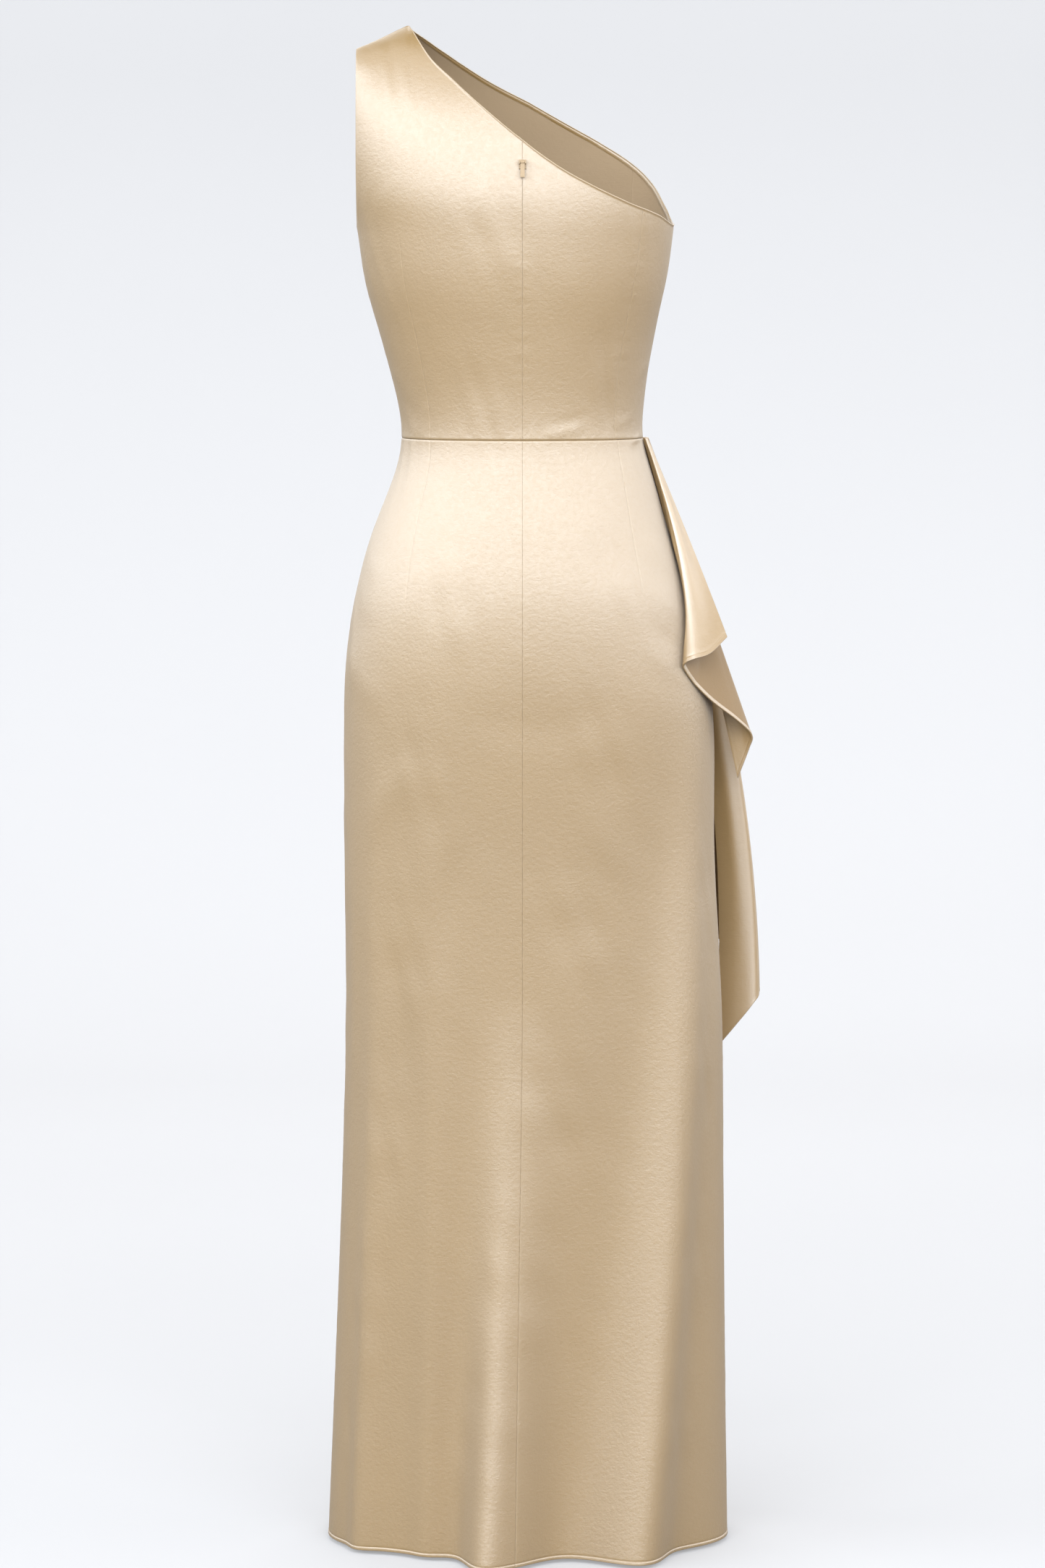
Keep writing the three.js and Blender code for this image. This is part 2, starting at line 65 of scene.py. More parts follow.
SECTION_COLUMNS = ["path", "height", "left", "right", "front", "back", "square"]
SECTIONS = [
    [0, 0, 196, 207, 136, 120, 2.2],
    [190, 190, 188, 204, 128, 115, 2.2],
    [368, 368, 181, 202, 121, 113, 2.2],
    [528, 528, 177, 200, 116, 112, 2.2],
    [689, 689, 178, 192, 112, 113, 2.2],
    [834, 834, 178, 190, 109, 118, 2.2],
    [892, 892, 175, 180, 107, 118.5, 2.2],
    [950, 950, 166, 165, 103.5, 115, 2.2],
    [1007, 1007, 150.8, 147.2, 98, 106, 2.15],
    [1072, 1072, 126, 128, 91, 93, 2.15],
    [1104.7, 1104.7, 119.8, 119.3, 87, 88, 2.15],
    [1144, 1144, 124.6, 121, 90, 88, 2.15],
    [1201, 1201, 139.6, 129.5, 100, 93, 2.2],
    [1259, 1259, 155.9, 142.3, 114, 99, 2.3],
    [1316, 1316, 164.4, 150, 117, 101, 2.4],
    [1330, 1330, 168.5, 150.5, 115, 100.5, 2.45],
    [1350, 1350, 172.5, 151, 111, 99, 2.5],
    [1390, 1390, 177, 151, 100, 92, 2.6],
    [1430, 1430, 178, 151, 86, 81, 2.7],
    [1456, 1455, 178, 151, 75, 70, 2.7],
    [1482, 1477, 178, 151, 60, 57, 2.7],
    [1508, 1494, 178, 151, 42, 40, 2.7],
    [1533, 1505, 178, 151, 22, 21, 2.7],
    [1557, 1510, 178, 151, 0, 0, 2.7],
    [1581, 1505, 178, 151, -22, -21, 2.7],
]

NECK_POWER = 0.77
NECK_COLUMNS = ["place", "height"]
NECKLINE = [
    [56.8, 1510], [66, 1479], [74, 1457], [82, 1432], [90, 1398], [98, 1374], [109, 1357],
    [128, 1338], [150, 1325], [172, 1315.5], [188, 1318], [200, 1332], [214, 1356],
    [228, 1376], [245, 1397], [260, 1418], [268, 1434], [276, 1458], [286, 1480],
    [295, 1497], [303.2, 1510],
]

FOLDS = [  # hem turn, top turn, reach, spread, start, lean
    [85, 88, 62, 8.5, 560, 10],
    [118, 155, 50, 11, 900, 0],
    [64, 62, 9, 6, 950, 0],
    [37, 35, 10, 7, 900, 0],
    [205, 203, 14, 8, 600, 0],
    [235, 231, 34, 10, 640, -6],
    [262, 262, 20, 8, 520, 0],
    [300, 303, 36, 10, 700, 6],
    [336, 333, 14, 8, 560, 0],
]
FOLD_GROWTH = 1.4

STRIP_COLUMNS = ["waistX", "waistY", "midX", "midY", "hemX", "hemY", "hemZ", "clear"]
FLOUNCE = [
    [-123.6, 12.6, -164.0, 20.0, -202.0, 58.0, 910, 12],
    [-122.8, 13.2, -159.0, 29.0, -185.0, 74.0, 895, 12],
    [-121.9, 13.3, -154.0, 34.0, -169.0, 81.0, 890, 11],
    [-121.1, 12.4, -151.0, 32.5, -160.5, 79.0, 886, 8],
    [-120.9, 10.6, -150.5, 28.0, -158.5, 71.5, 880, 5],
    [-121.8, 8.9, -154.0, 24.0, -165.0, 64.0, 869, 3.5],
    [-122.9, 7.6, -165.0, 15.5, -187.0, 49.0, 846, 3.5],
    [-124.0, 6.2, -172.0, 9.5, -213.0, 29.0, 825, 3.5],
    [-124.6, 4.0, -176.5, 4.0, -228.0, 15.0, 809, 3.5],
    [-123.6, 1.6, -175.5, -3.0, -225.5, 7.0, 794, 3.5],
    [-120.9, 0.4, -174.0, -8.0, -215.0, 1.0, 765, 3.5],
]
TAIL = [
    [-119.8, -14.6, -186.0, -48.0, -196.0, -49.0, 486, 4],
    [-122.4, -13.8, -196.0, -41.0, -216.0, -42.0, 511, 4],
    [-124.0, -13.8, -204.5, -37.5, -233.0, -38.0, 533, 4],
    [-124.8, -16.0, -208.5, -40.5, -238.5, -43.5, 543, 4],
    [-124.0, -18.6, -205.0, -46.0, -234.0, -50.5, 553, 4],
    [-122.4, -20.8, -190.0, -62.0, -193.0, -77.0, 604, 4],
    [-117.9, -23.0, -132.0, -86.5, -142.0, -94.0, 700, 4],
]
WAIST_CLEAR = 1.6

# Where one panel meets the next, in degrees round the body
SIDE_LEFT = 0.0
CENTRE_BACK = 90.0
BACK_RIGHT_SEAM = 138.0
SIDE_RIGHT = 180.0
FRONT_RIGHT_SEAM = 227.0

# Darts: turn at the bottom, turn at the top, and the heights of both ends
BODICE_DART_LEFT = (42.3, 45.4, WAIST, 1304.0)
SKIRT_DART_LEFT = (49.0, 42.3, 935.0, WAIST)
SKIRT_DART_RIGHT = (133.9, 140.2, 938.0, WAIST)

# Creases of the cloth: the turn and path of both ends, how far the crease stands out
# (a trough is negative), its half width, and how far it bows sideways
BODY_CREASES = [
    [95, 1110, 121, 1119, 0.44, 5.0, 2],
    [100, 1122, 124, 1132, -0.28, 5.0, 2],
    [146, 1098, 170, 1110, 0.56, 4.0, 1],
    [143, 1090, 166, 1100, -0.48, 4.0, -1],
    [133, 1118, 158, 1132, 0.4, 6.0, 3],
    [20, 1120, 40, 1112, 0.36, 6.0, 2],
    [12, 1142, 38, 1128, -0.32, 7.0, -2],
    [4, 1178, 30, 1160, 0.36, 8.0, 3],
    [150, 1160, 176, 1180, 0.36, 8.0, -3],
    [141, 1008, 160, 990, 0.64, 7.0, 3],
    [138, 985, 160, 960, -0.56, 7.0, 3],
    [136, 960, 162, 930, 0.68, 8.0, 4],
    [130, 930, 160, 895, -0.6, 9.0, 4],
    [128, 905, 158, 862, 0.75, 10.0, 5],
    [8, 1000, 34, 968, 0.55, 12.0, 4],
    [4, 955, 38, 905, -0.5, 14.0, 5],
    [6, 905, 46, 840, 0.78, 16.0, 6],
    [70, 840, 112, 822, -0.54, 20.0, 6],
    [60, 800, 30, 700, 0.84, 18.0, 8],
    [100, 780, 128, 660, 0.72, 18.0, 8],
    [72, 720, 66, 560, -0.84, 15.0, 5],
    [104, 640, 108, 420, 0.96, 16.0, 6],
    [50, 640, 54, 360, -1.2, 15.0, 6],
    [22, 700, 20, 420, 0.8, 14.0, 5],
    [200, 1010, 224, 960, 0.7, 12.0, 5],
    [210, 940, 236, 860, -0.6, 14.0, 5],
    [318, 1005, 342, 960, 0.65, 12.0, -4],
    [300, 930, 340, 860, -0.66, 15.0, 6],
    [250, 860, 290, 840, -0.54, 20.0, 6],
    [240, 760, 232, 560, 0.9, 18.0, 8],
    [285, 720, 296, 520, -0.9, 16.0, 6],
    [222, 1120, 246, 1113, 0.4, 6.0, 2],
    [292, 1114, 318, 1124, 0.4, 6.0, 2],
    [240, 1220, 262, 1205, -0.4, 9.0, 3],
    [278, 1206, 300, 1222, -0.4, 9.0, 3],
]


def curve(rows, columns, along, value):
    """Smooth curve through one column of a table over another: cubic pieces whose
    slope at each row is the slope between its two neighbours."""
    table = np.array(rows, float)
    keys = table[:, columns.index(along)]
    values = table[:, columns.index(value)]
    order = np.arange(len(keys))
    before = np.maximum(order - 1, 0)
    after = np.minimum(order + 1, len(keys) - 1)
    slopes = (values[after] - values[before]) / (keys[after] - keys[before])

    def at(place):
        place = np.clip(place, keys[0], keys[-1])
        k = np.clip(np.searchsorted(keys, place, side="right") - 1, 0, len(keys) - 2)
        span = keys[k + 1] - keys[k]
        s = (place - keys[k]) / span
        rise = values[k + 1] - values[k]
        bend = span * s * (1 - s) * (slopes[k] * (1 - s) - slopes[k + 1] * s)
        return values[k] + rise * s * s * (3 - 2 * s) + bend

    return at


def softened(shape, reach):
    """The mean of a curve at five places within reach, which evens out its bends."""
    def at(place):
        return sum(shape(place + reach * k / 2) for k in (-2, -1, 0, 1, 2)) / 5

    return at


section = {
    name: softened(curve(SECTIONS, SECTION_COLUMNS, "path", name), 11.0)
    for name in SECTION_COLUMNS[2:]
}
section["height"] = curve(SECTIONS, SECTION_COLUMNS, "path", "height")


def neck_place(turn):
    """Place along the neckline, even with the sideways distance: 0 at the left side, 1
    at the centre back, 2 at the right side and 3 at the centre front."""
    cosine = np.cos(np.radians(turn))
    share = np.sign(cosine) * np.abs(cosine) ** NECK_POWER
    return np.where(np.asarray(turn) < 2 * QUARTER, 1 - share, 3 + share)


NECK_ROWS = [[float(neck_place(turn)), height] for turn, height in NECKLINE]
neck_height = curve(NECK_ROWS, NECK_COLUMNS, "place", "height")


def mix(a, b, share):
    """Straight blend from a to b."""
    return a + (b - a) * share


def ramp(value, start, end):
    """Rises smoothly from 0 at start to 1 at end."""
    s = np.clip((value - start) / (end - start), 0, 1)
    return s * s * (3 - 2 * s)


def section_angle(turn, path):
    """Angle round the section, in radians. Above the underarm the left side opens for
    the arm, so the lines close up towards the front and the back: at once along the
    armhole's edge, and little by little further in."""
    width = section["left"](path)
    power = section["square"](path)
    opened = np.where((path > UNDERARM) & (width > ARMHOLE_X), ARMHOLE_X / width, 1.0)
    angle = np.arccos(opened ** (power / 2))
    from_side = np.minimum(turn, FULL_TURN - turn)
    share = np.clip(1 - from_side / QUARTER, 0, 1)
    at_edge = np.exp(-((from_side / 12.0) ** 2))
    shift = angle * share * mix(ramp(path, UNDERARM, UNDERARM + 50.0), 1.0, at_edge)
    return np.radians(turn) + np.where(turn < 2 * QUARTER, shift, -shift)


def fold_offset(turn, height):
    """Reach and lean of the skirt's long folds: each is a bell curve across, whose
    middle drifts and whose size grows from its start down to the hem."""
    out = np.zeros(np.broadcast(turn, height).shape)
    lean = np.zeros_like(out)
    for hem_turn, top_turn, reach, spread, start, sideways in FOLDS:
        grown = np.maximum((start - height) / start, 0)
        middle = mix(top_turn, hem_turn, grown)
        shape = np.exp(-(((turn - middle) / spread) ** 2)) * grown ** FOLD_GROWTH
        out += reach * shape
        lean += sideways * shape
    return out, lean


def body_point(turn, path):
    """Point on the cloth: a superellipse at each height, moved out along its normal
    by the folds, and lowered towards the tip of the shoulder."""
    turn, path = np.broadcast_arrays(np.asarray(turn, float), np.asarray(path, float))
    angle = section_angle(turn, path)
    power = 2 / section["square"](path)
    cosine, sine = np.cos(angle), np.sin(angle)
    width = np.where(cosine > 0, section["left"](path), section["right"](path))
    depth = np.where(sine > 0, section["back"](path), section["front"](path))
    x = width * np.sign(cosine) * np.abs(cosine) ** power
    y = depth * np.sign(sine) * np.abs(sine) ** power
    height = section["height"](path)
    out, lean = fold_offset(turn, height)
    across = x / width ** 2
    through = y / np.maximum(depth, 1) ** 2
    length = np.maximum(np.hypot(across, through), 1e-12)
    x = x + out * across / length + lean
    y = y + out * through / length
    slope = np.maximum((path - STRAP_START) / (RIDGE_PATH - STRAP_START), 0) ** 2
    beyond = np.maximum(x - STRAP_INNER_X, 0) / (ARMHOLE_X - STRAP_INNER_X)
    return np.stack([x, y, height - SHOULDER_TIP_DROP * beyond * slope], -1)


def unit(vectors):
    """Vectors scaled to length one."""
    return vectors / np.maximum(np.linalg.norm(vectors, axis=-1, keepdims=True), 1e-12)


def body_normal(turn, path):
    """Outward direction of the cloth, from its slopes round and up the body."""
    turn_step, path_step = 0.3, 1.0
    around = body_point(turn + turn_step, path) - body_point(turn - turn_step, path)
    up = body_point(turn, path + path_step) - body_point(turn, path - path_step)
    return unit(np.cross(around, up))


def top_path(turn):
    """Path length at which each line reaches the neckline or the shoulder seam, by
    halving the stretch between the underarm and the ridge."""
    turn = np.asarray(turn, float)
    low = np.full(turn.shape, UNDERARM - 20)
    high = np.full(turn.shape, RIDGE_PATH - SEAM_GAP / 2)

    def above(path):
        angle = np.degrees(section_angle(turn, path))
        inside = (angle >= NECKLINE[0][0]) & (angle <= NECKLINE[-1][0])
        return inside & (section["height"](path) > neck_height(neck_place(angle)))

    reaches_ridge = ~above(high)
    for _ in range(30):
        middle = (low + high) / 2
        over = above(middle)
        high = np.where(over, middle, high)
        low = np.where(over, low, middle)
    return np.where(reaches_ridge, RIDGE_PATH - SEAM_GAP / 2, low)


def crease_field(turn, path, creases, scale):
    """Sum of creases. Each is a bell curve across a bowed line, and it fades to
    nothing at both ends of the line. scale is the millimetres in one degree."""
    field = np.zeros(np.broadcast(turn, path).shape)
    for turn_a, path_a, turn_b, path_b, height, width, bow in creases:
        along_x = (turn_b - turn_a) * scale
        along_y = path_b - path_a
        length = math.hypot(along_x, along_y)
        x = (turn - turn_a) * scale
        y = path - path_a
        t = (x * along_x + y * along_y) / length ** 2
        across = (x * along_y - y * along_x) / length - bow * 4 * t * (1 - t)
        window = np.where((t > 0) & (t < 1), np.sin(np.pi * np.clip(t, 0, 1)) ** 1.3, 0)
        field += height * np.exp(-((across / width) ** 2)) * window
    return field


def ripple(place, wavelength, seed):
    """Uneven soft wave: three sines whose lengths share no common measure."""
    x = place / wavelength
    first = np.sin(2 * np.pi * x + seed)
    second = np.sin(2 * np.pi * x * 0.61803 + 1.7 * seed + 1.1)
    third = np.sin(2 * np.pi * x * 1.4142 + 2.3 * seed + 0.4)
    return (first + second + 0.6 * third) / 2.6


def running(points, axis):
    """Distance run along a grid's rows or columns, from its first line."""
    step = np.linalg.norm(np.diff(points, axis=axis), axis=-1)
    start = np.zeros_like(np.take(step, [0], axis=axis))
    return np.concatenate([start, np.cumsum(step, axis=axis)], axis=axis)


END_CROWDING = 0.88  # 0 spaces a panel's lines evenly, 1 lets them meet at its ends


def spread(low, high, count, lines):
    """Places from low to high, closer together at the ends and near each line."""
    share = np.linspace(0, 1, count + 1)
    places = mix(low, high, share - END_CROWDING * np.sin(2 * np.pi * share) / (2 * np.pi))
    near = np.array([-1.0, -0.62, -0.34, -0.14, 0, 0.14, 0.34, 0.62, 1.0])
    for line in lines:
        places = places[np.abs(places - line) > 1.3]
        places = np.concatenate([places, line + near])
    return np.sort(places)


def follow(turns, path, dart):
    """Bends the lines of a grid so that one of them runs along a dart."""
    turn_low, turn_high, low, high = dart
    middle = (turn_low + turn_high) / 2
    share = np.clip((path - low) / (high - low), 0, 1)
    shift = mix(turn_low, turn_high, share) - middle
    return turns + shift * np.exp(-(((turns - middle) / 9) ** 2))


def make_mesh(name, points, quads, materials, looks):
    """One object from points in millimetres and quads, with smooth shading."""
    mesh = bpy.data.meshes.new(name)
    mesh.vertices.add(len(points))
    mesh.vertices.foreach_set("co", ((points - ORIGIN) * MM).ravel())
    mesh.loops.add(quads.size)
    mesh.loops.foreach_set("vertex_index", quads.ravel().astype(np.int32))
    mesh.polygons.add(len(quads))
    mesh.polygons.foreach_set("loop_start", (np.arange(len(quads)) * 4).astype(np.int32))
    mesh.polygons.foreach_set("material_index", looks.astype(np.int32))
    mesh.polygons.foreach_set("use_smooth", np.ones(len(quads), bool))
    mesh.update(calc_edges=True)
    mesh.validate()
    for material in materials:
        mesh.materials.append(material)
    piece = bpy.data.objects.new(name, mesh)
    bpy.context.scene.collection.objects.link(piece)
    return piece


def slab_faces(rows, columns):
    """Quads of a closed slab between two grids: the outer and inner faces, and the
    rims that join them. Returns the quads and the side of each: 0 outside, 1 inside,
    2 rim."""
    index = np.arange(rows * columns).reshape(rows, columns)
    inner = index + rows * columns

    def faces(a, b, c, d):
        return np.stack([a.ravel(), b.ravel(), c.ravel(), d.ravel()], 1)

    outside = faces(index[:-1, :-1], index[:-1, 1:], index[1:, 1:], index[1:, :-1])
    inside = faces(inner[:-1, :-1], inner[1:, :-1], inner[1:, 1:], inner[:-1, 1:])
    left = faces(index[:-1, 0], index[1:, 0], inner[1:, 0], inner[:-1, 0])
    right = faces(index[:-1, -1], inner[:-1, -1], inner[1:, -1], index[1:, -1])
    low = faces(index[0, :-1], inner[0, :-1], inner[0, 1:], index[0, 1:])
    high = faces(index[-1, :-1], index[-1, 1:], inner[-1, 1:], inner[-1, :-1])
    rims = np.concatenate([left, right, low, high])
    quads = np.concatenate([outside, inside, rims])
    side = np.repeat([0, 1, 2], [len(outside), len(inside), len(rims)])
    return quads, side


def slab(name, outer, inner, materials, inside_looks=None):
    """Closed thin cloth between two grids of points. The outside and rims take the
    first material and the inside the second, or a grid of looks for its faces."""
    rows, columns = outer.shape[:2]
    quads, side = slab_faces(rows, columns)
    points = np.concatenate([outer.reshape(-1, 3), inner.reshape(-1, 3)])
    a, b, c = (points[quads[:, k]] for k in (0, 1, 2))
    d = points[quads[:, 3]]
    volume = np.einsum("ij,ij->i", a, np.cross(b, c)) + np.einsum("ij,ij->i", a, np.cross(c, d))
    if volume.sum() < 0:
        quads = quads[:, ::-1]
    looks = np.where(side == 1, 1, 0)
    if inside_looks is not None:
        looks[side == 1] = inside_looks.ravel()
    return make_mesh(name, points, quads, materials, looks)


def cloth_size(outer):
    """Greatest width and length along the cloth of a grid of points, in metres, and
    its area in square metres."""
    one = np.cross(outer[1:, 1:] - outer[:-1, :-1], outer[1:, :-1] - outer[:-1, 1:])
    area = np.linalg.norm(one, axis=-1).sum() / 2 * MM * MM
    width = running(outer, 1)[:, -1].max() * MM
    length = running(outer, 0)[-1].max() * MM
    return round(float(width), 3), round(float(length), 3), round(float(area), 4)


def group(name, inputs, outputs):
    """A new shader node group with its sockets; returns the tree and its two ends."""
    tree = bpy.data.node_groups.new(name, "ShaderNodeTree")
    for label, kind, value in inputs:
        socket = tree.interface.new_socket(label, in_out="INPUT", socket_type=kind)
        socket.default_value = value
    for label, kind in outputs:
        tree.interface.new_socket(label, in_out="OUTPUT", socket_type=kind)
    return tree, tree.nodes.new("NodeGroupInput"), tree.nodes.new("NodeGroupOutput")


def wire(tree, source, output, target, target_input):
    """Joins two sockets by name or number."""
    tree.links.new(source.outputs[output], target.inputs[target_input])


def node(tree, kind, settings=None, **values):
    """A new shader node with its settings and the values of its sockets."""
    made = tree.nodes.new(kind)
    for name, value in (settings or {}).items():
        setattr(made, name, value)
    for name, value in values.items():
        made.inputs[name.replace("_", " ")].default_value = value
    return made


def satin_grain_group():
    """Fine grain of satin on object coordinates: threads drawn out across the cloth,
    a mottle a few millimetres wide, and a slow drift of tone over the cloth."""
    tree, start, end = group(
        "satin_grain",
        [("Thread", "NodeSocketFloat", 900.0), ("Mottle", "NodeSocketFloat", 260.0)],
        [("Threads", "NodeSocketFloat"), ("Mottle", "NodeSocketFloat"), ("Drift", "NodeSocketFloat")],
    )
    place = node(tree, "ShaderNodeTexCoord")
    drawn = node(tree, "ShaderNodeMapping", {"vector_type": "POINT"})
    drawn.inputs["Scale"].default_value = (0.16, 0.16, 1.0)
    wire(tree, place, "Object", drawn, "Vector")
    threads = node(tree, "ShaderNodeTexNoise", Detail=2.0, Roughness=0.6)
    wire(tree, drawn, "Vector", threads, "Vector")
    wire(tree, start, "Thread", threads, "Scale")
    mottle = node(tree, "ShaderNodeTexNoise", Detail=4.0, Roughness=0.65)
    wire(tree, place, "Object", mottle, "Vector")
    wire(tree, start, "Mottle", mottle, "Scale")
    drift = node(tree, "ShaderNodeTexNoise", Scale=7.0, Detail=2.0, Roughness=0.5)
    wire(tree, place, "Object", drift, "Vector")
    wire(tree, threads, "Fac", end, "Threads")
    wire(tree, mottle, "Fac", end, "Mottle")
    wire(tree, drift, "Fac", end, "Drift")
    return tree


def tint_group():
    """Mixes two tones by a slow drift and a fine grain, each with its own share."""
    tree, start, end = group(
        "cloth_tint",
        [
            ("Dark", "NodeSocketColor", (0.5, 0.4, 0.3, 1)),
            ("Light", "NodeSocketColor", (0.7, 0.6, 0.5, 1)),
            ("Drift", "NodeSocketFloat", 0.5),
            ("Grain", "NodeSocketFloat", 0.5),
            ("Grain Share", "NodeSocketFloat", 0.35),
        ],
        [("Color", "NodeSocketColor")],
    )
    blend = node(tree, "ShaderNodeMix", {"data_type": "FLOAT"})
    wire(tree, start, "Grain Share", blend, 0)
    wire(tree, start, "Drift", blend, 2)
    wire(tree, start, "Grain", blend, 3)
    tones = node(tree, "ShaderNodeMix", {"data_type": "RGBA"})
    wire(tree, blend, 0, tones, 0)
    wire(tree, start, "Dark", tones, 6)
    wire(tree, start, "Light", tones, 7)
    wire(tree, tones, 2, end, "Color")
    return tree


SATIN_GRAIN = satin_grain_group()
CLOTH_TINT = tint_group()
SATIN_IOR = 1.95  # above cloth's own, for the strong gloss of satin


def cloth_material(name, dark, light, rough, specular, sheen, threads, mottle, grain_share,
                   floats=0.0):
    """Cloth whose tone, roughness and fine bump come from the shared grain. A satin's
    float threads run down the cloth, so its gloss spreads across them by floats."""
    material = bpy.data.materials.new(name)
    material.use_nodes = True
    tree = material.node_tree
    shader = tree.nodes["Principled BSDF"]
    grain = tree.nodes.new("ShaderNodeGroup")
    grain.node_tree = SATIN_GRAIN
    tint = tree.nodes.new("ShaderNodeGroup")
    tint.node_tree = CLOTH_TINT
    tint.inputs["Dark"].default_value = (*dark, 1)
    tint.inputs["Light"].default_value = (*light, 1)
    tint.inputs["Grain Share"].default_value = grain_share
    wire(tree, grain, "Drift", tint, "Drift")
    wire(tree, grain, "Mottle", tint, "Grain")
    wire(tree, tint, "Color", shader, "Base Color")
    roughness = node(tree, "ShaderNodeMapRange")
    roughness.inputs["From Min"].default_value = 0.3
    roughness.inputs["From Max"].default_value = 0.7
    roughness.inputs["To Min"].default_value = rough[0]
    roughness.inputs["To Max"].default_value = rough[1]
    wire(tree, grain, "Mottle", roughness, "Value")
    wire(tree, roughness, "Result", shader, "Roughness")
    fine = node(tree, "ShaderNodeBump", Strength=threads, Distance=0.0002)
    wire(tree, grain, "Threads", fine, "Height")
    coarse = node(tree, "ShaderNodeBump", Strength=mottle, Distance=0.0006)
    wire(tree, grain, "Mottle", coarse, "Height")
    wire(tree, fine, "Normal", coarse, "Normal")
    wire(tree, coarse, "Normal", shader, "Normal")
    shader.inputs["Specular IOR Level"].default_value = specular
    if floats > 0:
        form = node(tree, "ShaderNodeNewGeometry")
        across = node(tree, "ShaderNodeVectorMath", {"operation": "CROSS_PRODUCT"})
        across.inputs[1].default_value = (0.0, 0.0, 1.0)
        wire(tree, form, "Normal", across, 0)
        wire(tree, across, "Vector", shader, "Tangent")
        shader.inputs["Anisotropic"].default_value = floats
        shader.inputs["IOR"].default_value = SATIN_IOR
    shader.inputs["Sheen Weight"].default_value = sheen
    shader.inputs["Sheen Roughness"].default_value = 0.45
    shader.inputs["Sheen Tint"].default_value = (1.0, 0.93, 0.82, 1)
    return material


SATIN_OUTSIDE = cloth_material(
    "satin_outside", (0.205, 0.123, 0.037), (0.240, 0.144, 0.043), (0.58, 0.66), 1.0, 0.03,
    0.30, 0.50, 0.40, 0.8)
# The cascade's satin, with a sharper gloss that spreads less across its floats than the gown's. Its
# tone is about an eighth lighter than the gown's satin: painted light that lifts the cascade, the
# tail most of all, where the skirt shades it.
DRAPE_OUTSIDE_PAINTED_LIGHT = cloth_material(
    "drape_outside_painted_light", (0.232, 0.140, 0.045), (0.270, 0.163, 0.052), (0.40, 0.46), 1.0, 0.03,
    0.30, 0.25, 0.30, 0.2)
SATIN_INSIDE = cloth_material(
    "satin_inside", (0.28, 0.20, 0.118), (0.32, 0.232, 0.142), (0.50, 0.60), 0.5, 0.2,
    0.5, 0.3, 0.5)
# The cascade's dull side: a darker copy of the gown's inside, painted shade for the hollows inside
# the cascade's folds.
DRAPE_INSIDE_PAINTED_SHADE = cloth_material(
    "drape_inside_painted_shade", (0.20, 0.127, 0.060), (0.238, 0.155, 0.076), (0.55, 0.66), 0.35, 0.2,
    0.5, 0.3, 0.5)
TAPE_WEAVE = cloth_material(
    "zip_tape_weave", (0.36, 0.28, 0.18), (0.44, 0.35, 0.24), (0.7, 0.85), 0.3, 0.2,
    0.8, 0.4, 0.6)


def enamel_material():
    """Zip enamel in the cloth's colour, a little worn by a fine noise."""
    material = bpy.data.materials.new("zip_enamel")
    material.use_nodes = True
    tree = material.node_tree
    shader = tree.nodes["Principled BSDF"]
    place = node(tree, "ShaderNodeTexCoord")
    wear = node(tree, "ShaderNodeTexNoise", Scale=700.0, Detail=3.0)
    wire(tree, place, "Object", wear, "Vector")
    tones = node(tree, "ShaderNodeValToRGB")
    tones.color_ramp.elements[0].color = (0.27, 0.19, 0.11, 1)
    tones.color_ramp.elements[1].color = (0.34, 0.25, 0.15, 1)
    wire(tree, wear, "Fac", tones, "Fac")
    wire(tree, tones, "Color", shader, "Base Color")
    shader.inputs["Roughness"].default_value = 0.5
    shader.inputs["Specular IOR Level"].default_value = 0.3
    return material


ENAMEL = enamel_material()


SEAM_WIDTH = 0.8
HEM_DEPTH = 3.2
FACING = 5.5  # width of the turned edge inside the neckline and the armhole


def groove(distance, width, depth):
    """A seam's valley: a bell curve across the distance from its line."""
    return -depth * np.exp(-((distance / width) ** 2))


